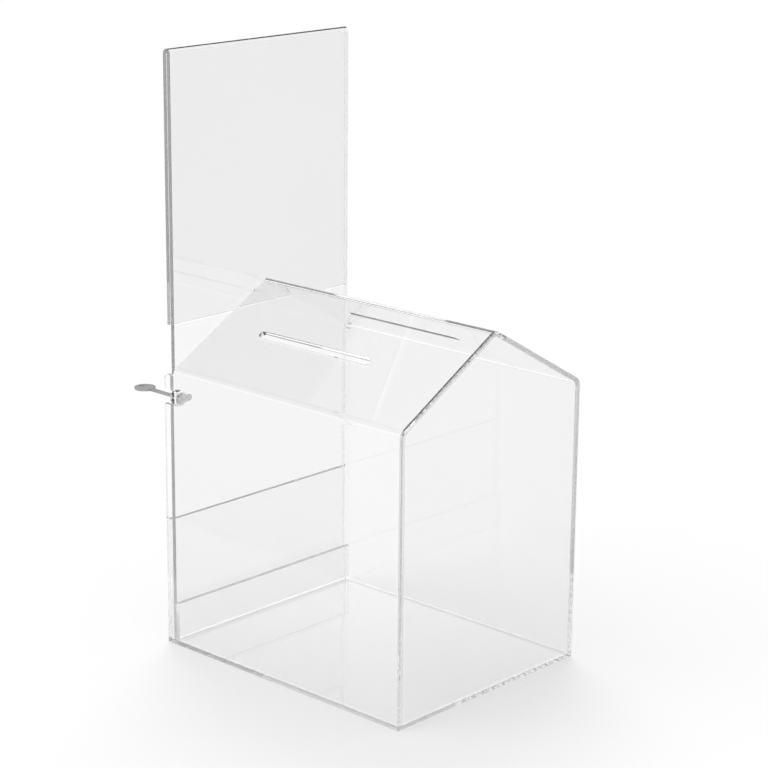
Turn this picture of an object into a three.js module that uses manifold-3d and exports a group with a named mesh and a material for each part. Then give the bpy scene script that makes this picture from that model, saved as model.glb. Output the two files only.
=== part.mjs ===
// Free-standing acrylic donation box with a house-shaped money compartment,
// a coin and note slot in each roof slope, a tall folded sign panel that is
// also the rear access door, and a small cam lock through that panel.
// Millimetres, +Z up. Origin: centre of the underside of the base.
// -Y is the front gable, +Y is the sign side, +X is the right eave wall.
import * as THREE from 'three';
import { mergeVertices } from 'three/addons/utils/BufferGeometryUtils.js';
import Module from 'manifold-3d';

const wasm = await Module();
wasm.setup();

// ---------------------------------------------------------------- dimensions
const BOX_WIDTH = 268;            // over the two eave walls
const BOX_DEPTH = 334;            // front gable to rear edge of the walls
const SHEET = 4.8;                // acrylic sheet thickness
const EAVE_Z = 303;               // sharp corner of wall and slope, outside
const RIDGE_Z = 379.2;            // sharp corner of the two slopes, outside
const EAVE_R = 11;                // outside bend radius at the eaves
const RIDGE_R = 9;                // outside bend radius at the ridge
const ROOF_REAR_Y = 152.4;        // the slopes stop here, in front of the sign
const WALL_TAB_Z = 296.4;         // top of the walls behind the roof
const GLUE = 0.1;                 // cement line between bonded sheets

const SLOT_LENGTH = 156;          // money slot, end to end
const SLOT_WIDTH = 9;
const SLOT_MID_Y = 14.5;
const SLOT_UP_SLOPE = 76;         // slot centre, measured up the slope

const REAR_PANEL_TOP = 138;       // fixed lower rear panel
const REAR_PANEL_Y = 162.2;       // its inner face
const KEEPER_Y = 151.6;           // front face of the door keeper strip
const KEEPER_TOP = 46;

const SIGN_HALF_WIDTH = 128.1;
const SIGN_FRONT_Y = 156.9;       // front face of the sign panel
const SIGN_GAP = 0.7;             // poster pocket between the two leaves
const SIGN_TOP = 631.4;
const SIGN_LEAF_BOTTOM = 347.5;   // lower edge of the folded rear leaf
const SIGN_FOOT = SHEET + 0.3;    // running gap over the base

const LOCK_X = -119.7;
const LOCK_Z = 269;
const FLANGE_R = 9;
const BARREL_R = 5.95;
const BARREL_FLAT = 5.2;          // half distance across the barrel's flats
const BORE_R = 4.5;
const PLUG_R = 4.3;
const CAM_REACH = 14.2;           // lock axis to cam tip
const CAM_HALF = 3.6;
const NUT_THICK = 2.0;
const CAM_THICK = 1.4;
const WAFER_PITCH = 2.0;
const WAFER_THICK = 0.9;

const halfW = BOX_WIDTH / 2;
const halfD = BOX_DEPTH / 2;
const slopeLen = Math.hypot(halfW, RIDGE_Z - EAVE_Z);
const sx = halfW / slopeLen;                 // run of a slope, unit length
const sz = (RIDGE_Z - EAVE_Z) / slopeLen;    // rise of a slope
const signRearY = SIGN_FRONT_Y + SHEET;      // rear face of the front leaf

// ------------------------------------------------------------------- helpers
function material(hex, roughness, metalness, opacity = 1) {
  return new THREE.MeshStandardMaterial({
    color: hex, roughness, metalness, opacity, transparent: opacity < 1,
  });
}
const acrylic = () => material(0xf2f4f4, 0.06, 0.0, 0.3);

function toSolid(geometry) {
  let g = geometry.clone();
  g.deleteAttribute('normal');
  g.deleteAttribute('uv');
  g = mergeVertices(g, 1e-5);
  return new wasm.Manifold(new wasm.Mesh({
    numProp: 3,
    vertProperties: new Float32Array(g.attributes.position.array),
    triVerts: new Uint32Array(g.index.array),
  }));
}

function toGeometry(solid) {
  const m = solid.getMesh();
  const g = new THREE.BufferGeometry();
  g.setAttribute('position', new THREE.BufferAttribute(new Float32Array(m.vertProperties), 3));
  g.setIndex(new THREE.BufferAttribute(new Uint32Array(m.triVerts), 1));
  g.computeVertexNormals();
  return g;
}

function cut(geometry, ...cutters) {
  let s = toSolid(geometry);
  for (const c of cutters) s = s.subtract(toSolid(c));
  return toGeometry(s);
}

function join(...geometries) {
  let s = toSolid(geometries[0]);
  for (const g of geometries.slice(1)) s = s.add(toSolid(g));
  return toGeometry(s);
}

// outline in X,Z pushed along Y
function extrudeY(shape, y0, y1, curveSegments = 12) {
  const g = new THREE.ExtrudeGeometry(shape, { depth: y1 - y0, bevelEnabled: false, curveSegments });
  g.rotateX(Math.PI / 2);
  g.translate(0, y1, 0);
  return g;
}

// outline in Y,Z pushed along X
function extrudeX(shape, x0, x1, curveSegments = 12) {
  const g = new THREE.ExtrudeGeometry(shape, { depth: x1 - x0, bevelEnabled: false, curveSegments });
  g.applyMatrix4(new THREE.Matrix4().makeBasis(
    new THREE.Vector3(0, 1, 0), new THREE.Vector3(0, 0, 1), new THREE.Vector3(1, 0, 0)));
  g.translate(x0, 0, 0);
  return g;
}

function box(x0, x1, y0, y1, z0, z1) {
  const g = new THREE.BoxGeometry(x1 - x0, y1 - y0, z1 - z0);
  g.translate((x0 + x1) / 2, (y0 + y1) / 2, (z0 + z1) / 2);
  return g;
}

function polygon(points) {
  return new THREE.Shape(points.map((p) => new THREE.Vector2(p[0], p[1])));
}

// points of an arc, both ends included
function arc(cx, cz, r, a0, a1, steps) {
  const out = [];
  for (let i = 0; i <= steps; i++) {
    const a = a0 + ((a1 - a0) * i) / steps;
    out.push([cx + r * Math.cos(a), cz + r * Math.sin(a)]);
  }
  return out;
}

// a disc or stepped pin turned about Y: profile of [radius, y] pairs
function turnedY(profile, segments = 40) {
  const g = new THREE.LatheGeometry(profile.map((p) => new THREE.Vector2(p[0], p[1])), segments);
  return g;                                // three.js lathes turn about +Y
}

function stadium(halfLength, halfWidth) {
  const s = new THREE.Shape();
  const c = halfLength - halfWidth;
  s.moveTo(-c, -halfWidth);
  s.lineTo(c, -halfWidth);
  s.absarc(c, 0, halfWidth, -Math.PI / 2, Math.PI / 2, false);
  s.lineTo(-c, halfWidth);
  s.absarc(-c, 0, halfWidth, Math.PI / 2, (3 * Math.PI) / 2, false);
  return s;
}

// ------------------------------------------------------- bent one-piece shell
// The outside line of the bent sheet and the inside line share bend centres.
const slopeAngle = Math.atan2(RIDGE_Z - EAVE_Z, halfW);
const eaveC = [-halfW + EAVE_R, EAVE_Z - (EAVE_R * (1 - sz)) / sx];
const ridgeC = [0, RIDGE_Z - RIDGE_R / sx];

function shellLine(offset, z0) {
  const re = EAVE_R - offset;
  const rr = RIDGE_R - offset;
  const left = [
    [-halfW + offset, z0],
    ...arc(eaveC[0], eaveC[1], re, Math.PI, Math.PI / 2 + slopeAngle, 6),
  ];
  const ridge = arc(ridgeC[0], ridgeC[1], rr, Math.PI / 2 + slopeAngle, Math.PI / 2 - slopeAngle, 6);
  const right = left.map((p) => [-p[0], p[1]]).reverse();
  return [...left, ...ridge, ...right];
}

const shellOutline = [...shellLine(0, SHEET), ...shellLine(SHEET, SHEET).reverse()].reverse();
const shellSolid = extrudeY(polygon(shellOutline), -halfD, halfD);

// behind the roof only the two walls go on, up to the start of the bend
const roofTrim = box(-halfW - 5, halfW + 5, ROOF_REAR_Y, halfD + 5, WALL_TAB_Z, RIDGE_Z + 30);

function slotCutter(side) {
  const g = new THREE.ExtrudeGeometry(stadium(SLOT_LENGTH / 2, SLOT_WIDTH / 2), {
    depth: 24, bevelEnabled: false, curveSegments: 10,
  });
  g.translate(0, 0, -12);
  const u = new THREE.Vector3(0, 1, 0);
  const v = new THREE.Vector3(-side * sx, 0, sz);
  const w = new THREE.Vector3().crossVectors(u, v);
  g.applyMatrix4(new THREE.Matrix4().makeBasis(u, v, w));
  g.translate(side * (halfW - sx * SLOT_UP_SLOPE), SLOT_MID_Y, EAVE_Z + sz * SLOT_UP_SLOPE);
  return g;
}

// the lock's cam turns down into this notch, open at the wall's rear edge
const NOTCH_LOW = LOCK_Z - CAM_HALF - 0.7;
const NOTCH_HIGH = LOCK_Z + 11.2;
const camNotch = box(-halfW - 5, -halfW + SHEET + 5, ROOF_REAR_Y - 0.8, halfD + 5, NOTCH_LOW, NOTCH_HIGH);

const shellGeometry = cut(shellSolid, roofTrim, slotCutter(-1), slotCutter(1), camNotch);

// ------------------------------------------------------------- front gable
function gableShape(inset) {
  const o = SHEET + inset;
  const left = [
    [-halfW + o, SHEET + inset],
    ...arc(eaveC[0], eaveC[1], EAVE_R - o, Math.PI, Math.PI / 2 + slopeAngle, 6),
  ];
  const ridge = arc(ridgeC[0], ridgeC[1], RIDGE_R - o, Math.PI / 2 + slopeAngle, Math.PI / 2 - slopeAngle, 6);
  const right = left.map((p) => [-p[0], p[1]]).reverse();
  return polygon([...left, ...ridge, ...right].reverse());
}
const frontGeometry = extrudeY(gableShape(GLUE), -halfD, -halfD + SHEET);

// ------------------------------------------------------- base, rear, keeper
const baseGeometry = box(-halfW, halfW, -halfD, halfD, 0, SHEET);
const innerX = halfW - SHEET - GLUE;
const rearGeometry = box(-innerX, innerX, REAR_PANEL_Y, halfD, SHEET + GLUE, REAR_PANEL_TOP);
const keeperGeometry = box(-innerX, innerX, KEEPER_Y, KEEPER_Y + SHEET, SHEET + GLUE, KEEPER_TOP);

// --------------------------------------------------- sign panel, one folded sheet
const foldR = SHEET + SIGN_GAP / 2;
const foldY = SIGN_FRONT_Y + foldR;
const foldZ = SIGN_TOP - foldR;
const signOutline = [
  [SIGN_FRONT_Y, SIGN_FOOT],
  [signRearY, SIGN_FOOT],
  ...arc(foldY, foldZ, SIGN_GAP / 2, Math.PI, 0, 6),
  [signRearY + SIGN_GAP, SIGN_LEAF_BOTTOM],
  [signRearY + SIGN_GAP + SHEET, SIGN_LEAF_BOTTOM],
  ...arc(foldY, foldZ, foldR, 0, Math.PI, 14),
];
const signSolid = extrudeX(polygon(signOutline), -SIGN_HALF_WIDTH, SIGN_HALF_WIDTH);

function doubleD(radius, flat, steps = 40) {
  const pts = [];
  for (let i = 0; i < steps; i++) {
    const a = (2 * Math.PI * i) / steps;
    pts.push([radius * Math.cos(a), Math.max(-flat, Math.min(flat, radius * Math.sin(a)))]);
  }
  return polygon(pts);
}
function atLock(geometry) {
  return geometry.translate(LOCK_X, 0, LOCK_Z);
}
const lockHole = atLock(extrudeY(doubleD(BARREL_R + 0.2, BARREL_FLAT + 0.2), SIGN_FRONT_Y - 2, signRearY + 2));
const signGeometry = cut(signSolid, lockHole);

// ------------------------------------------------------------------ cam lock
// Stack along Y, from the rear: flange, barrel through the panel, nut, cam.
const BARREL_END = SIGN_FRONT_Y - NUT_THICK - 0.1;      // 154.8
const FLANGE_REAR = signRearY + 3.2;                    // 164.9
const PLUG_HEAD = 1.2;

const housingBody = join(
  turnedY([
    [0, signRearY], [FLANGE_R, signRearY], [FLANGE_R, FLANGE_REAR - 1.2],
    [FLANGE_R - 0.5, FLANGE_REAR - 0.4], [FLANGE_R - 1.4, FLANGE_REAR], [0, FLANGE_REAR],
  ]),
  extrudeY(doubleD(BARREL_R, BARREL_FLAT), BARREL_END, signRearY + 1),
);
const housingGeometry = atLock(cut(
  housingBody,
  turnedY([[0, BARREL_END - 3], [BORE_R, BARREL_END - 3], [BORE_R, FLANGE_REAR + 3], [0, FLANGE_REAR + 3]], 48),
  turnedY([[0, FLANGE_REAR - PLUG_HEAD - 0.15], [5.5, FLANGE_REAR - PLUG_HEAD - 0.15], [5.5, FLANGE_REAR + 3], [0, FLANGE_REAR + 3]], 48),
));

const nutHex = [];
for (let i = 0; i < 6; i++) nutHex.push([(15 / 2 / Math.cos(Math.PI / 6)) * Math.cos((i * Math.PI) / 3), (15 / 2 / Math.cos(Math.PI / 6)) * Math.sin((i * Math.PI) / 3)]);
const nutGeometry = atLock(cut(
  extrudeY(polygon(nutHex), SIGN_FRONT_Y - NUT_THICK, SIGN_FRONT_Y),
  turnedY([[0, SIGN_FRONT_Y - 9], [BARREL_R + 0.1, SIGN_FRONT_Y - 9], [BARREL_R + 0.1, SIGN_FRONT_Y + 9], [0, SIGN_FRONT_Y + 9]], 40),
));

// plug: head in the flange, keyway from the rear, cross slots for the wafers,
// a square boss for the cam and a blind hole for the cam screw
const BOSS = 2.3;                                       // half side of the boss
const camY0 = BARREL_END - 0.1 - CAM_THICK;             // front face of the cam
const camY1 = BARREL_END - 0.1;
const plugBody = join(
  turnedY([
    [0, BARREL_END], [PLUG_R, BARREL_END], [PLUG_R, FLANGE_REAR - PLUG_HEAD],
    [5.3, FLANGE_REAR - PLUG_HEAD], [5.3, FLANGE_REAR - 0.3], [5.0, FLANGE_REAR], [0, FLANGE_REAR],
  ], 40),
  box(-BOSS, BOSS, camY0 + 0.15, BARREL_END + 1, -BOSS, BOSS),
);
const KEY_HALF_W = 2.5;
const KEY_HALF_T = 0.85;
const keyway = box(-KEY_HALF_W - 0.15, KEY_HALF_W + 0.15, BARREL_END + 2.2, FLANGE_REAR + 3, -KEY_HALF_T - 0.15, KEY_HALF_T + 0.15);
const waferY = [0, 1, 2].map((i) => FLANGE_REAR - 2.6 - i * WAFER_PITCH);
const waferSlots = waferY.map((y) => box(-6, 6, y - WAFER_THICK / 2 - 0.1, y + WAFER_THICK / 2 + 0.1, -1.95, 1.95));
const screwHole = turnedY([[0, camY0 - 3], [1.35, camY0 - 3], [1.35, BARREL_END + 1.6], [0, BARREL_END + 1.6]], 24);
const plugGeometry = atLock(cut(plugBody, keyway, ...waferSlots, screwHole));

// wafer tumblers: flat frames that the key's blade passes through
function wafer(y, shift) {
  const outer = box(-3.75, 3.75, y - WAFER_THICK / 2, y + WAFER_THICK / 2, -1.8, 1.8);
  const window = box(-KEY_HALF_W - 0.12 + shift, KEY_HALF_W + 0.12 + shift, y - 2, y + 2, -KEY_HALF_T - 0.12, KEY_HALF_T + 0.12);
  return atLock(cut(outer, window));
}

// cam: round hub, rounded end, square hole; rests pointing inwards (+X)
const camShape = new THREE.Shape();
camShape.absarc(0, 0, 5.2, Math.PI * 0.3, Math.PI * 1.7, false);
camShape.lineTo(CAM_REACH - CAM_HALF, -CAM_HALF);
camShape.absarc(CAM_REACH - CAM_HALF, 0, CAM_HALF, -Math.PI / 2, Math.PI / 2, false);
const camGeometry = atLock(cut(
  extrudeY(camShape, camY0, camY1, 16),
  box(-BOSS - 0.08, BOSS + 0.08, camY0 - 2, camY1 + 2, -BOSS - 0.08, BOSS + 0.08),
));

// low-head machine screw that holds the cam on the plug
const screwBody = turnedY([
  [0, camY0 - 0.55], [2.9, camY0 - 0.55], [3.4, camY0 - 0.25], [3.4, camY0],
  [1.2, camY0], [1.2, BARREL_END + 1.4], [0, BARREL_END + 1.4],
], 28);
const screwGeometry = atLock(cut(
  screwBody,
  box(-1.6, 1.6, camY0 - 2, camY0 - 0.2, -0.3, 0.3),
  box(-0.3, 0.3, camY0 - 2, camY0 - 0.2, -1.6, 1.6),
));

// key: flat blade with bitting cuts, a shoulder, a long slim neck and a round
// bow, thicker than the blade, with a ring hole near its far side
const KEY_TIP = BARREL_END + 2.5;
const ks = FLANGE_REAR + 0.4;
const NECK_HALF_W = 3.0;
const BOW_R = 11.2;
const BOW_HALF_T = 1.0;
const BOW_Y = ks + 48.2;                                // centre of the bow
const bladeShape = polygon([
  [-KEY_HALF_W + 1.2, KEY_TIP], [KEY_HALF_W - 1.2, KEY_TIP], [KEY_HALF_W, KEY_TIP + 1.2],
  [KEY_HALF_W, ks], [NECK_HALF_W, ks], [NECK_HALF_W, BOW_Y - BOW_R + 2],
  [-NECK_HALF_W, BOW_Y - BOW_R + 2], [-NECK_HALF_W, ks], [-KEY_HALF_W, ks], [-KEY_HALF_W, KEY_TIP + 1.2],
]);
const headShape = polygon(arc(0, BOW_Y, BOW_R, -Math.PI / 2, 1.5 * Math.PI, 48).slice(0, -1));
const ringHole = new THREE.Path();
ringHole.absarc(0, BOW_Y + 5.4, 3, 0, Math.PI * 2, true);
headShape.holes.push(ringHole);
function slab(shape, halfT) {
  const g = new THREE.ExtrudeGeometry(shape, { depth: 2 * halfT, bevelEnabled: false, curveSegments: 14 });
  return g.translate(0, 0, -halfT);
}
const keyBlank = join(slab(bladeShape, KEY_HALF_T), slab(headShape, BOW_HALF_T));
const bits = waferY.flatMap((y, i) => {
  const d = [0.5, 0.9, 0.35][i];
  const side = i % 2 ? -1 : 1;
  const x0 = side * (KEY_HALF_W - d);
  return [box(Math.min(x0, side * 6), Math.max(x0, side * 6), y - 0.6, y + 0.6, -3, 3)];
});
const keyGeometry = atLock(cut(keyBlank, ...bits));

// ------------------------------------------------------------------ assembly
const model = new THREE.Group();
function add(parent, name, geometry, mat) {
  const m = new THREE.Mesh(geometry, mat);
  m.name = name;
  parent.add(m);
  return m;
}
const chrome = () => material(0xc8c9cb, 0.18, 1.0);
const steel = () => material(0x8f9193, 0.35, 1.0);
const brass = () => material(0xb59a57, 0.35, 1.0);

const cabinet = new THREE.Group();
add(cabinet, 'base_panel', baseGeometry, acrylic());
add(cabinet, 'shell', shellGeometry, acrylic());
add(cabinet, 'front_panel', frontGeometry, acrylic());
add(cabinet, 'rear_lower_panel', rearGeometry, acrylic());
add(cabinet, 'door_keeper_strip', keeperGeometry, acrylic());
model.add(cabinet);

const door = new THREE.Group();
add(door, 'sign_panel', signGeometry, acrylic());
add(door, 'lock_housing', housingGeometry, chrome());
add(door, 'lock_nut', nutGeometry, chrome());
const cylinder = new THREE.Group();
add(cylinder, 'lock_plug', plugGeometry, steel());
waferY.forEach((y, i) => add(cylinder, `wafer_tumbler_${i + 1}`, wafer(y, 0), brass()));
add(cylinder, 'lock_cam', camGeometry, steel());
add(cylinder, 'cam_screw', screwGeometry, steel());
const keyGroup = new THREE.Group();
add(keyGroup, 'key', keyGeometry, steel());
cylinder.add(keyGroup);
door.add(cylinder);
model.add(door);

export default model;
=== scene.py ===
import math
import bmesh
import bpy
from mathutils import Matrix, Vector


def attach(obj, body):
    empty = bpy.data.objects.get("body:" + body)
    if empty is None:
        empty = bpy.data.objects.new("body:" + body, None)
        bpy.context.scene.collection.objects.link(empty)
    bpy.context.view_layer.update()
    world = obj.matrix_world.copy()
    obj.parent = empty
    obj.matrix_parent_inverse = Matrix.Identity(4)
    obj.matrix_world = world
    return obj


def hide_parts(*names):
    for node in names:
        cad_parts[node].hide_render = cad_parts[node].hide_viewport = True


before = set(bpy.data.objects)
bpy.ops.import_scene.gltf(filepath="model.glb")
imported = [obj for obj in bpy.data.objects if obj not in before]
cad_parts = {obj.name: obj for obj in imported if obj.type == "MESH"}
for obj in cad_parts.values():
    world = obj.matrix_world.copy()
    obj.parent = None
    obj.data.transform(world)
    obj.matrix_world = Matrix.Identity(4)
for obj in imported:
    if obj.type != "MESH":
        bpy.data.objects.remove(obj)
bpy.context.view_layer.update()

MM = 0.001
S = bpy.context.scene
S.view_settings.view_transform = "Standard"
S.view_settings.look = "None"
# light needs many turns inside a clear sheet before it leaves by an edge
S.cycles.max_bounces = 180
S.cycles.transmission_bounces = 180
S.cycles.glossy_bounces = 180

# ------------------------------------------------------------------ camera
W_MM, D_MM = 268.0, 334.5
AZ, EL, ROLL = math.radians(-47.0062), math.radians(15.8231), math.radians(0.5080)
back = Vector((math.sin(AZ) * math.cos(EL), -math.cos(AZ) * math.cos(EL), math.sin(EL)))
target = Vector(((0.9194181 - 0.5) * W_MM, 0.9448609 * W_MM - D_MM / 2, 0.9394504 * W_MM)) * MM
right = (-back).cross(Vector((0, 0, 1))).normalized()
up = right.cross(-back).normalized()
r2 = right * math.cos(ROLL) + up * math.sin(ROLL)
u2 = -right * math.sin(ROLL) + up * math.cos(ROLL)
cam_data = bpy.data.cameras.new("camera")
cam_data.sensor_width = 36.0
cam_data.lens = 2360.630379 * 36.0 / 768.0
cam_data.clip_start = 0.05
cam_data.clip_end = 60.0
cam = bpy.data.objects.new("camera", cam_data)
S.collection.objects.link(cam)
loc = target + back * (9.5883456 * W_MM * MM)
m = Matrix((
    (r2.x, u2.x, back.x, loc.x),
    (r2.y, u2.y, back.y, loc.y),
    (r2.z, u2.z, back.z, loc.z),
    (0, 0, 0, 1)))
cam.matrix_world = m
S.camera = cam


# --------------------------------------------------------------- materials
def new_material(name):
    mat = bpy.data.materials.new(name)
    mat.use_nodes = True
    nt = mat.node_tree
    nt.nodes.clear()
    out = nt.nodes.new("ShaderNodeOutputMaterial")
    bsdf = nt.nodes.new("ShaderNodeBsdfPrincipled")
    nt.links.new(bsdf.outputs[0], out.inputs["Surface"])
    return mat, nt, bsdf, out


def add(nt, kind, **props):
    n = nt.nodes.new(kind)
    for k, v in props.items():
        setattr(n, k, v)
    return n


def object_coords(nt, scale=(1, 1, 1)):
    tc = add(nt, "ShaderNodeTexCoord")
    mp = add(nt, "ShaderNodeMapping")
    mp.inputs["Scale"].default_value = scale
    nt.links.new(tc.outputs["Object"], mp.inputs["Vector"])
    return mp.outputs["Vector"]


def ramp(nt, fac, stops):
    r = add(nt, "ShaderNodeValToRGB")
    e = r.color_ramp.elements
    while len(e) > 1:
        e.remove(e[0])
    e[0].position, e[0].color = stops[0][0], stops[0][1]
    for p, c in stops[1:]:
        x = e.new(p)
        x.color = c
    nt.links.new(fac, r.inputs["Fac"])
    return r.outputs["Color"]


def grey(v, a=1.0):
    return (v, v, v, a)


def noise(nt, vec, scale, detail=4.0, rough=0.55):
    n = add(nt, "ShaderNodeTexNoise")
    n.inputs["Scale"].default_value = scale
    n.inputs["Detail"].default_value = detail
    n.inputs["Roughness"].default_value = rough
    nt.links.new(vec, n.inputs["Vector"])
    return n.outputs["Fac"]


def acrylic(name, tint=0.972, absorb=1.0, rough_lo=0.0, rough_hi=0.03, seed=0.0):
    """Clear cast acrylic: polished faces with faint wiping smears and dust."""
    mat, nt, b, out = new_material(name)
    vec = object_coords(nt)
    shift = add(nt, "ShaderNodeVectorMath", operation="ADD")
    shift.inputs[1].default_value = (seed, seed * 0.7, seed * 1.3)
    nt.links.new(vec, shift.inputs[0])
    v = shift.outputs[0]
    cloud = noise(nt, v, 7.0, 3.0, 0.5)
    fine = noise(nt, v, 420.0, 2.0, 0.6)
    mix = add(nt, "ShaderNodeMix", data_type="RGBA")
    mix.inputs["Factor"].default_value = 0.35
    nt.links.new(ramp(nt, cloud, [(0.35, grey(tint)), (0.75, grey(tint - 0.007))]), mix.inputs[6])
    nt.links.new(ramp(nt, fine, [(0.3, grey(tint)), (0.8, grey(tint - 0.004))]), mix.inputs[7])
    nt.links.new(mix.outputs[2], b.inputs["Base Color"])
    rr = add(nt, "ShaderNodeMapRange")
    rr.inputs["From Min"].default_value = 0.45
    rr.inputs["From Max"].default_value = 0.8
    rr.inputs["To Min"].default_value = rough_lo
    rr.inputs["To Max"].default_value = rough_hi
    nt.links.new(cloud, rr.inputs["Value"])
    nt.links.new(rr.outputs["Result"], b.inputs["Roughness"])
    b.inputs["IOR"].default_value = 1.491
    b.inputs["Transmission Weight"].default_value = 1.0
    b.inputs["Metallic"].default_value = 0.0
    wave = noise(nt, v, 14.0, 2.0, 0.4)
    bump = add(nt, "ShaderNodeBump")
    bump.inputs["Strength"].default_value = 0.02
    bump.inputs["Distance"].default_value = 0.0004
    nt.links.new(wave, bump.inputs["Height"])
    nt.links.new(bump.outputs["Normal"], b.inputs["Normal"])
    if absorb > 0:
        vol = add(nt, "ShaderNodeVolumeAbsorption")
        vol.inputs["Color"].default_value = (0.0, 0.0, 0.0, 1.0)
        vol.inputs["Density"].default_value = absorb
        nt.links.new(vol.outputs[0], out.inputs["Volume"])
    return mat


def metal(name, base, rough, brush=(1, 1, 1), brush_scale=900.0, amount=0.12, bump_strength=0.15):
    mat, nt, b, out = new_material(name)
    vec = object_coords(nt, brush)
    fine = noise(nt, vec, brush_scale, 3.0, 0.6)
    cloud = noise(nt, object_coords(nt), 60.0, 3.0, 0.5)
    lo = tuple(max(0.0, c * (1 - amount)) for c in base) + (1.0,)
    hi = tuple(min(1.0, c * (1 + amount * 0.6)) for c in base) + (1.0,)
    nt.links.new(ramp(nt, cloud, [(0.3, lo), (0.7, hi)]), b.inputs["Base Color"])
    b.inputs["Metallic"].default_value = 1.0
    rr = add(nt, "ShaderNodeMapRange")
    rr.inputs["From Min"].default_value = 0.3
    rr.inputs["From Max"].default_value = 0.7
    rr.inputs["To Min"].default_value = max(0.04, rough - 0.07)
    rr.inputs["To Max"].default_value = rough + 0.09
    nt.links.new(fine, rr.inputs["Value"])
    nt.links.new(rr.outputs["Result"], b.inputs["Roughness"])
    bump = add(nt, "ShaderNodeBump")
    bump.inputs["Strength"].default_value = bump_strength
    bump.inputs["Distance"].default_value = 0.00003
    nt.links.new(fine, bump.inputs["Height"])
    nt.links.new(bump.outputs["Normal"], b.inputs["Normal"])
    return mat


M_SHELL = acrylic("acrylic_shell", tint=0.978, absorb=1.1, seed=0.0)
M_FRONT = acrylic("acrylic_front", tint=0.98, absorb=0.8, seed=3.1)
M_BASE = acrylic("acrylic_base", tint=0.99, absorb=0.0, seed=5.7)
# machined edges of the base and strips, left a little duller than the polished faces; their dark tint is painted
# shade standing in for the grey that light trapped in the sheet gives an edge, darker (0.46) on the side and strip
# edges than on the base's end edges (0.69)
M_EDGE_SIDE_PAINTED_SHADE = acrylic("acrylic_edge_side_painted_shade", tint=0.46, absorb=0.0, rough_lo=0.03, rough_hi=0.12, seed=20.3)
M_EDGE_END_PAINTED_SHADE = acrylic("acrylic_edge_end_painted_shade", tint=0.69, absorb=0.0, rough_lo=0.02, rough_hi=0.08, seed=23.9)
M_REAR = acrylic("acrylic_rear", absorb=0.0, seed=8.3)
M_STRIP = acrylic("acrylic_strip", absorb=0.0, seed=11.9)
M_SIGN = acrylic("acrylic_sign", tint=0.958, absorb=3.2, seed=15.2)
M_CHROME = metal("lock_chrome", (0.78, 0.78, 0.79), 0.12, amount=0.05, bump_strength=0.05)
M_STEEL = metal("lock_steel", (0.62, 0.62, 0.63), 0.26, brush=(1, 6, 1))
M_KEY = metal("key_nickel", (0.46, 0.46, 0.465), 0.28, brush=(1, 5, 1), brush_scale=600.0)
M_BRASS = metal("wafer_brass", (0.72, 0.60, 0.33), 0.30)


# ------------------------------------------------------------ mesh helpers
def obj_from_bm(bm, name):
    bmesh.ops.recalc_face_normals(bm, faces=bm.faces)
    me = bpy.data.meshes.new(name)
    bm.to_mesh(me)
    bm.free()
    o = bpy.data.objects.new(name, me)
    S.collection.objects.link(o)
    return o


def prism(name, pts, axis, a, b):
    """Closed prism in mm: pts are (x, z) for axis y, (y, z) for axis x, (x, y) for axis z."""
    bm = bmesh.new()

    def place(p, t):
        if axis == "y":
            q = (p[0], t, p[1])
        elif axis == "x":
            q = (t, p[0], p[1])
        else:
            q = (p[0], p[1], t)
        return Vector(q) * MM

    lo = [bm.verts.new(place(p, a)) for p in pts]
    hi = [bm.verts.new(place(p, b)) for p in pts]
    bm.faces.new(lo)
    bm.faces.new(list(reversed(hi)))
    n = len(pts)
    for i in range(n):
        j = (i + 1) % n
        bm.faces.new((lo[j], lo[i], hi[i], hi[j]))
    return obj_from_bm(bm, name)


def strip(name, outer, inner, axis, a, b):
    """Closed bent sheet in mm: two matching lines, joined section by section, pushed along an axis."""
    bm = bmesh.new()

    def place(p, t):
        q = (p[0], t, p[1]) if axis == "y" else (t, p[0], p[1])
        return Vector(q) * MM

    rows = [[bm.verts.new(place(p, t)) for p in line] for line, t in ((outer, a), (outer, b), (inner, a), (inner, b))]
    oa, ob, ia, ib = rows
    n = len(outer)
    for i in range(n - 1):
        bm.faces.new((oa[i], oa[i + 1], ob[i + 1], ob[i]))
        bm.faces.new((ia[i + 1], ia[i], ib[i], ib[i + 1]))
        bm.faces.new((oa[i + 1], oa[i], ia[i], ia[i + 1]))
        bm.faces.new((ob[i], ob[i + 1], ib[i + 1], ib[i]))
    bm.faces.new((oa[0], ob[0], ib[0], ia[0]))
    bm.faces.new((ob[-1], oa[-1], ia[-1], ib[-1]))
    return obj_from_bm(bm, name)


def boolean_cut(o, cutters):
    for c in cutters:
        md = o.modifiers.new("cut", "BOOLEAN")
        md.operation = "DIFFERENCE"
        md.solver = "EXACT"
        md.object = c
    bake(o)
    for c in cutters:
        me = c.data
        bpy.data.objects.remove(c)
        bpy.data.meshes.remove(me)


def bake(o):
    bpy.context.view_layer.update()
    dg = bpy.context.evaluated_depsgraph_get()
    ev = o.evaluated_get(dg)
    me = bpy.data.meshes.new_from_object(ev)
    old = o.data
    o.modifiers.clear()
    o.data = me
    bpy.data.meshes.remove(old)


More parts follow.
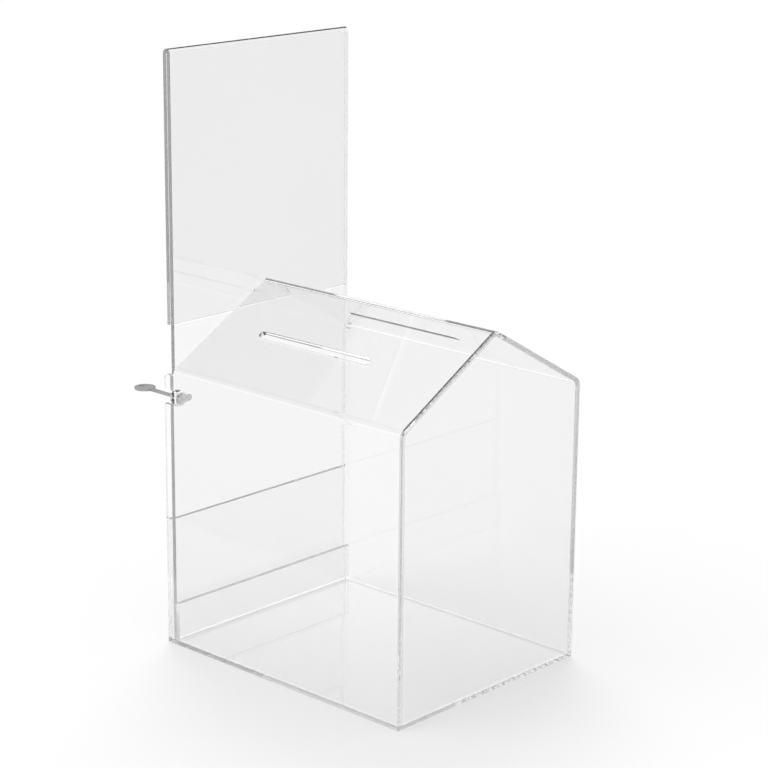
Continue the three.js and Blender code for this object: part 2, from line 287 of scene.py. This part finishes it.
def soften(o, width_mm, segments=3, angle=32.0, merge=True):
    """Flame-polished edges: coplanar faces merged, then every crisp edge rounded."""
    bm = bmesh.new()
    bm.from_mesh(o.data)
    bmesh.ops.remove_doubles(bm, verts=bm.verts, dist=1e-6)
    if merge:
        bmesh.ops.dissolve_limit(bm, angle_limit=math.radians(0.4), verts=bm.verts, edges=bm.edges)
    bm.to_mesh(o.data)
    bm.free()
    md = o.modifiers.new("polish", "BEVEL")
    md.width = width_mm * MM
    md.segments = segments
    md.limit_method = "ANGLE"
    md.angle_limit = math.radians(angle)
    md.use_clamp_overlap = True
    bake(o)
    for p in o.data.polygons:
        p.use_smooth = True
    bm = bmesh.new()
    bm.from_mesh(o.data)
    lim = math.radians(25)
    for e in bm.edges:
        e.smooth = not (len(e.link_faces) == 2 and e.calc_face_angle(0.0) > lim)
    bm.to_mesh(o.data)
    bm.free()


def weighted(o):
    md = o.modifiers.new("normals", "WEIGHTED_NORMAL")
    md.keep_sharp = True
    md.weight = 100
    bake(o)


def finish_piece(o, mat, node, body):
    o.data.materials.clear()
    o.data.materials.append(mat)
    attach(o, body)
    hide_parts(node)


def arc(cx, cz, r, a0, a1, steps):
    return [(cx + r * math.cos(a0 + (a1 - a0) * i / steps), cz + r * math.sin(a0 + (a1 - a0) * i / steps)) for i in range(steps + 1)]


# ------------------------------------------------------- dimensions, in mm
HW, HD, T = 134.0, 167.0, 4.8
EAVE_Z, RIDGE_Z, EAVE_R, RIDGE_R = 303.0, 379.2, 11.0, 9.0
ROOF_REAR, TAB_Z = 152.4, 296.4
slope = math.atan2(RIDGE_Z - EAVE_Z, HW)
sx, sz = math.cos(slope), math.sin(slope)
eave_c = (-HW + EAVE_R, EAVE_Z - EAVE_R * (1 - sz) / sx)
ridge_c = (0.0, RIDGE_Z - RIDGE_R / sx)
CEMENT = 0.15      # cemented sheets run into each other by this much, so light passes the joint


def shell_line(off, z0, n=18):
    left = [(-HW + off, z0)] + arc(eave_c[0], eave_c[1], EAVE_R - off, math.pi, math.pi / 2 + slope, n)
    ridge = arc(ridge_c[0], ridge_c[1], RIDGE_R - off, math.pi / 2 + slope, math.pi / 2 - slope, n)
    return left + ridge + [(-x, z) for x, z in reversed(left)]


def stadium(half_l, half_w, n=14):
    c = half_l - half_w
    return arc(c, 0, half_w, -math.pi / 2, math.pi / 2, n) + arc(-c, 0, half_w, math.pi / 2, 1.5 * math.pi, n)


# ------------------------------------------------------------------- shell
def shell_mesh():
    """Walls run on to the rear edge; the bends and slopes stop in front of the sign panel."""
    outer, inner = shell_line(0, T - CEMENT), shell_line(T, T - CEMENT)
    for line in (outer, inner):
        line.insert(1, (line[0][0], TAB_Z))
        line.insert(-1, (line[-1][0], TAB_Z))
    bm = bmesh.new()

    def verts(line, y):
        return [bm.verts.new(Vector((p[0], y, p[1])) * MM) for p in line]

    n = len(outer)
    of, os_, if_, is_ = verts(outer, -HD), verts(outer, ROOF_REAR), verts(inner, -HD), verts(inner, ROOF_REAR)
    wall = (0, 1, n - 2, n - 1)
    back_o = {i: bm.verts.new(Vector((outer[i][0], HD, outer[i][1])) * MM) for i in wall}
    back_i = {i: bm.verts.new(Vector((inner[i][0], HD, inner[i][1])) * MM) for i in wall}
    for i in range(n - 1):
        j = i + 1
        bm.faces.new((of[i], of[j], os_[j], os_[i]))
        bm.faces.new((if_[j], if_[i], is_[i], is_[j]))
        bm.faces.new((of[j], of[i], if_[i], if_[j]))
        if i in wall and j in wall:
            bm.faces.new((os_[i], os_[j], back_o[j], back_o[i]))
            bm.faces.new((is_[j], is_[i], back_i[i], back_i[j]))
            bm.faces.new((back_o[i], back_o[j], back_i[j], back_i[i]))
        else:
            bm.faces.new((os_[i], os_[j], is_[j], is_[i]))
    for i in (1, n - 2):
        bm.faces.new((os_[i], is_[i], back_i[i], back_o[i]))
    for i in (0, n - 1):
        bm.faces.new((of[i], os_[i], is_[i], if_[i]))
        bm.faces.new((os_[i], back_o[i], back_i[i], is_[i]))
    return obj_from_bm(bm, "bent_shell")


shell = shell_mesh()
tab_r = 5.0


def tab_cut(side):
    x0, x1 = (-HW - 3, -HW + T + 3) if side < 0 else (HW - T - 3, HW + 3)
    pts = [(HD + 2, TAB_Z - tab_r), (HD + 2, TAB_Z + 2), (HD - tab_r, TAB_Z + 2)] + arc(HD - tab_r, TAB_Z - tab_r, tab_r, math.pi / 2, 0, 8)
    return prism("c1", pts, "x", x0, x1)


def slot_cut(side):
    c = prism("c2", stadium(78.0, 4.5), "z", -12, 12)
    u, v = Vector((0, 1, 0)), Vector((-side * sx, 0, sz))
    w = u.cross(v)
    at = Vector((side * (HW - sx * 76.0), 14.5, EAVE_Z + sz * 76.0)) * MM
    mt = Matrix(((u.x, v.x, w.x, at.x), (u.y, v.y, w.y, at.y), (u.z, v.z, w.z, at.z), (0, 0, 0, 1)))
    c.data.transform(mt)
    return c


LX, LZ = -119.7, 269.0
nr = 2.0
z0, z1, y0 = LZ - 4.3, LZ + 11.2, ROOF_REAR - 0.8
notch = prism("c3", [(HD + 4, z0), (HD + 4, z1)] + arc(y0 + nr, z1 - nr, nr, math.pi / 2, math.pi, 6)
              + arc(y0 + nr, z0 + nr, nr, math.pi, 1.5 * math.pi, 6), "x", -HW - 5, -HW + T + 5)
boolean_cut(shell, [tab_cut(-1), tab_cut(1), slot_cut(-1), slot_cut(1), notch])
soften(shell, 0.45, merge=False)
weighted(shell)
finish_piece(shell, M_SHELL, "shell", "cabinet")

# ------------------------------------------------------------ flat sheets
o_ = T - CEMENT
gl = [(-HW + o_, T - CEMENT)] + arc(eave_c[0], eave_c[1], EAVE_R - o_, math.pi, math.pi / 2 + slope, 14)
gr = arc(ridge_c[0], ridge_c[1], RIDGE_R - o_, math.pi / 2 + slope, math.pi / 2 - slope, 10)
gable = prism("front_gable", gl + gr + [(-x, z) for x, z in reversed(gl)], "y", -HD, -HD + T)
soften(gable, 0.35)
weighted(gable)
finish_piece(gable, M_FRONT, "front_panel", "cabinet")


def paint_edge_shade(o, axis, mat):
    """The flat edge faces that look along one axis take the machined edge's material, whose dark tint is painted
    shade.
    """
    o.data.materials.append(mat)
    k = len(o.data.materials) - 1
    for p in o.data.polygons:
        if abs(p.normal[axis]) > 0.75:
            p.material_index = k


def plate(name, x0, x1, ya, yb, za, zb, mat, node, body="cabinet", edge=0.4):
    o = prism(name, [(x0, ya), (x1, ya), (x1, yb), (x0, yb)], "z", za, zb)
    soften(o, edge)
    weighted(o)
    finish_piece(o, mat, node, body)
    return o


base = plate("base_plate", -HW, HW, -HD, HD, 0.0, T, M_BASE, "base_panel")
# painted shade: the base's side edges get the darker tinted edge material, its end edges the lighter one
paint_edge_shade(base, 0, M_EDGE_SIDE_PAINTED_SHADE)
paint_edge_shade(base, 1, M_EDGE_END_PAINTED_SHADE)
ix = HW - T + CEMENT
rear = plate("rear_plate", -ix, ix, 162.2, HD, T - CEMENT, 138.0, M_REAR, "rear_lower_panel")
keeper = plate("keeper_plate", -ix, ix, 151.6, 156.4, T - CEMENT, 46.0, M_STRIP, "door_keeper_strip")
# painted shade: the top and bottom edges of the rear plate and keeper strip get the dark tinted edge material
paint_edge_shade(rear, 2, M_EDGE_SIDE_PAINTED_SHADE)
paint_edge_shade(keeper, 2, M_EDGE_SIDE_PAINTED_SHADE)

# ------------------------------------------------------------- sign panel
SF, SR, GAP = 156.9, 161.7, 0.7
fr = T + GAP / 2
fy, fz = SF + fr, 631.4 - fr
sign_out = [(SF, T + 0.3)] + arc(fy, fz, fr, math.pi, 0, 28) + [(SR + GAP + T, 347.5)]
sign_in = [(SR, T + 0.3)] + arc(fy, fz, GAP / 2, math.pi, 0, 28) + [(SR + GAP, 347.5)]
sign = strip("sign_sheet", sign_out, sign_in, "x", -128.1, 128.1)


def double_d(r, flat, n=48):
    return [(r * math.cos(2 * math.pi * i / n), max(-flat, min(flat, r * math.sin(2 * math.pi * i / n)))) for i in range(n)]


hole = prism("c4", [(LX + x, LZ + z) for x, z in double_d(6.15, 5.4)], "y", SF - 2, SR + 0.4)
boolean_cut(sign, [hole])
soften(sign, 0.35, merge=False)
weighted(sign)
finish_piece(sign, M_SIGN, "sign_panel", "door")

# ------------------------------------------------------- lock: CAD solids
LOOKS = {
    "lock_housing": (M_CHROME, "lock_chrome", 0.15), "lock_nut": (M_CHROME, "lock_chrome", 0.25),
    "lock_plug": (M_STEEL, "lock_steel", 0.0), "lock_cam": (M_STEEL, "lock_steel", 0.2),
    "cam_screw": (M_STEEL, "lock_steel", 0.0), "key": (M_KEY, "key_nickel", 0.2),
    "wafer_tumbler_1": (M_BRASS, "wafer_brass", 0.0), "wafer_tumbler_2": (M_BRASS, "wafer_brass", 0.0),
    "wafer_tumbler_3": (M_BRASS, "wafer_brass", 0.0),
}
for node, (mat, slot_name, bev) in LOOKS.items():
    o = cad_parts[node]
    if not o.material_slots:
        o.data.materials.append(mat)
    for s_ in o.material_slots:
        s_.material = mat
    if bev:
        d = o.modifiers.new("flat", "DECIMATE")
        d.decimate_type = "DISSOLVE"
        d.angle_limit = math.radians(0.5)
        md = o.modifiers.new("edge", "BEVEL")
        md.width = bev * MM
        md.segments = 2
        md.limit_method = "ANGLE"
        md.angle_limit = math.radians(35)

# ------------------------------------------------------------- stage, light
def is_reflection(nt):
    """1 on rays that left a surface by reflection, 0 on camera and transmitted rays."""
    lp = add(nt, "ShaderNodeLightPath")
    sub = add(nt, "ShaderNodeMath", operation="SUBTRACT", use_clamp=True)
    nt.links.new(lp.outputs["Is Glossy Ray"], sub.inputs[0])
    nt.links.new(lp.outputs["Is Transmission Ray"], sub.inputs[1])
    return sub.outputs[0]


def room_tone(nt, incoming=None):
    """How bright the room is that the sheets mirror: a bright wall towards +X +Y, softer grey elsewhere."""
    geo = add(nt, "ShaderNodeTexCoord") if incoming is None else None
    src = geo.outputs["Object"] if incoming is None else incoming
    n = add(nt, "ShaderNodeVectorMath", operation="NORMALIZE")
    nt.links.new(src, n.inputs[0])
    d = add(nt, "ShaderNodeVectorMath", operation="DOT_PRODUCT")
    d.inputs[1].default_value = (-0.36, 0.35, 0.0)
    nt.links.new(n.outputs[0], d.inputs[0])
    half = add(nt, "ShaderNodeMath", operation="ADD")
    half.inputs[1].default_value = 0.5
    nt.links.new(d.outputs["Value"], half.inputs[0])
    return ramp(nt, half.outputs[0], [(0.0, grey(0.05)), (0.2, grey(0.22)), (0.45, grey(0.95)), (0.6, grey(1.0)), (1.0, grey(0.82))])


bm = bmesh.new()
bmesh.ops.create_grid(bm, x_segments=1, y_segments=1, size=12.0)
floor = obj_from_bm(bm, "floor")
floor.location.z = -0.0004
fm, nt, b, out = new_material("floor_white")
b.inputs["Roughness"].default_value = 1.0
b.inputs["Specular IOR Level"].default_value = 0.0
b.inputs["Base Color"].default_value = (0.185, 0.185, 0.185, 1)
b.inputs["Emission Color"].default_value = (1, 1, 1, 1)
b.inputs["Emission Strength"].default_value = 0.641
dim = add(nt, "ShaderNodeEmission")
nt.links.new(room_tone(nt), dim.inputs["Color"])
mx = add(nt, "ShaderNodeMixShader")
nt.links.new(is_reflection(nt), mx.inputs[0])
nt.links.new(b.outputs[0], mx.inputs[1])
nt.links.new(dim.outputs[0], mx.inputs[2])
nt.links.new(mx.outputs[0], out.inputs["Surface"])
floor.data.materials.append(fm)

world = bpy.data.worlds.new("studio")
S.world = world
world.use_nodes = True
nt = world.node_tree
nt.nodes.clear()
wo = nt.nodes.new("ShaderNodeOutputWorld")
white = nt.nodes.new("ShaderNodeBackground")
white.inputs["Color"].default_value = (1, 1, 1, 1)
white.inputs["Strength"].default_value = 1.0
room = nt.nodes.new("ShaderNodeBackground")
tc = nt.nodes.new("ShaderNodeTexCoord")
sep = nt.nodes.new("ShaderNodeSeparateXYZ")
nt.links.new(tc.outputs["Generated"], sep.inputs[0])
high = ramp(nt, sep.outputs["Z"], [(0.0, grey(0.9)), (0.30, grey(0.95)), (0.45, grey(0.25)), (0.75, grey(0.05)), (1.0, grey(0.4))])
both = nt.nodes.new("ShaderNodeMix")
both.data_type = "RGBA"
both.blend_type = "MULTIPLY"
both.inputs["Factor"].default_value = 1.0
nt.links.new(room_tone(nt, tc.outputs["Generated"]), both.inputs[6])
nt.links.new(high, both.inputs[7])
nt.links.new(both.outputs[2], room.inputs["Color"])
room.inputs["Strength"].default_value = 1.0
# light that leaves a sheet steeply upwards meets a dim ceiling; light for the floor doesn't
lp = nt.nodes.new("ShaderNodeLightPath")
seen = nt.nodes.new("ShaderNodeMath")
seen.operation = "LESS_THAN"
seen.inputs[1].default_value = 0.5
nt.links.new(lp.outputs["Diffuse Depth"], seen.inputs[0])
not_cam = nt.nodes.new("ShaderNodeMath")
not_cam.operation = "SUBTRACT"
not_cam.inputs[0].default_value = 1.0
nt.links.new(lp.outputs["Is Camera Ray"], not_cam.inputs[1])
gate = nt.nodes.new("ShaderNodeMath")
gate.operation = "MULTIPLY"
nt.links.new(seen.outputs[0], gate.inputs[0])
nt.links.new(not_cam.outputs[0], gate.inputs[1])
ceiling = nt.nodes.new("ShaderNodeBackground")
nt.links.new(ramp(nt, sep.outputs["Z"], [(0.0, grey(0.55)), (0.08, grey(1.0)), (0.34, grey(1.0)), (0.5, grey(0.165)), (1.0, grey(0.165))]), ceiling.inputs["Color"])
ceiling.inputs["Strength"].default_value = 1.82
mxc = nt.nodes.new("ShaderNodeMixShader")
nt.links.new(gate.outputs[0], mxc.inputs[0])
nt.links.new(white.outputs[0], mxc.inputs[1])
nt.links.new(ceiling.outputs[0], mxc.inputs[2])
mx = nt.nodes.new("ShaderNodeMixShader")
nt.links.new(is_reflection(nt), mx.inputs[0])
nt.links.new(mxc.outputs[0], mx.inputs[1])
nt.links.new(room.outputs[0], mx.inputs[2])
nt.links.new(mx.outputs[0], wo.inputs["Surface"])


def area(name, at, to, size, energy):
    d = bpy.data.lights.new(name, "AREA")
    d.shape = "RECTANGLE"
    d.size, d.size_y = size
    d.energy = energy
    o = bpy.data.objects.new(name, d)
    S.collection.objects.link(o)
    o.location = at
    o.rotation_euler = (Vector(to) - Vector(at)).to_track_quat("-Z", "Y").to_euler()
    return o


def sun(name, at, energy, angle):
    d = bpy.data.lights.new(name, "SUN")
    d.energy = energy
    d.angle = math.radians(angle)
    o = bpy.data.objects.new(name, d)
    S.collection.objects.link(o)
    o.rotation_euler = (-Vector(at)).to_track_quat("-Z", "Y").to_euler()
    o.visible_glossy = False
    o.visible_transmission = False
    return o


sun("window_light", (1.25, 1.35, 2.3), 2.6, 34)
sun("window_far", (-1.4, 0.9, 2.0), 1.15, 50)
area("softbox_left", (-1.7, 0.6, 1.5), (0, 0, 0.25), (0.5, 1.2), 5.0)
area("softbox_roof", (0.24, 0.70, 1.81), (0.0, -0.12, 0.33), (1.0, 0.9), 1.0)
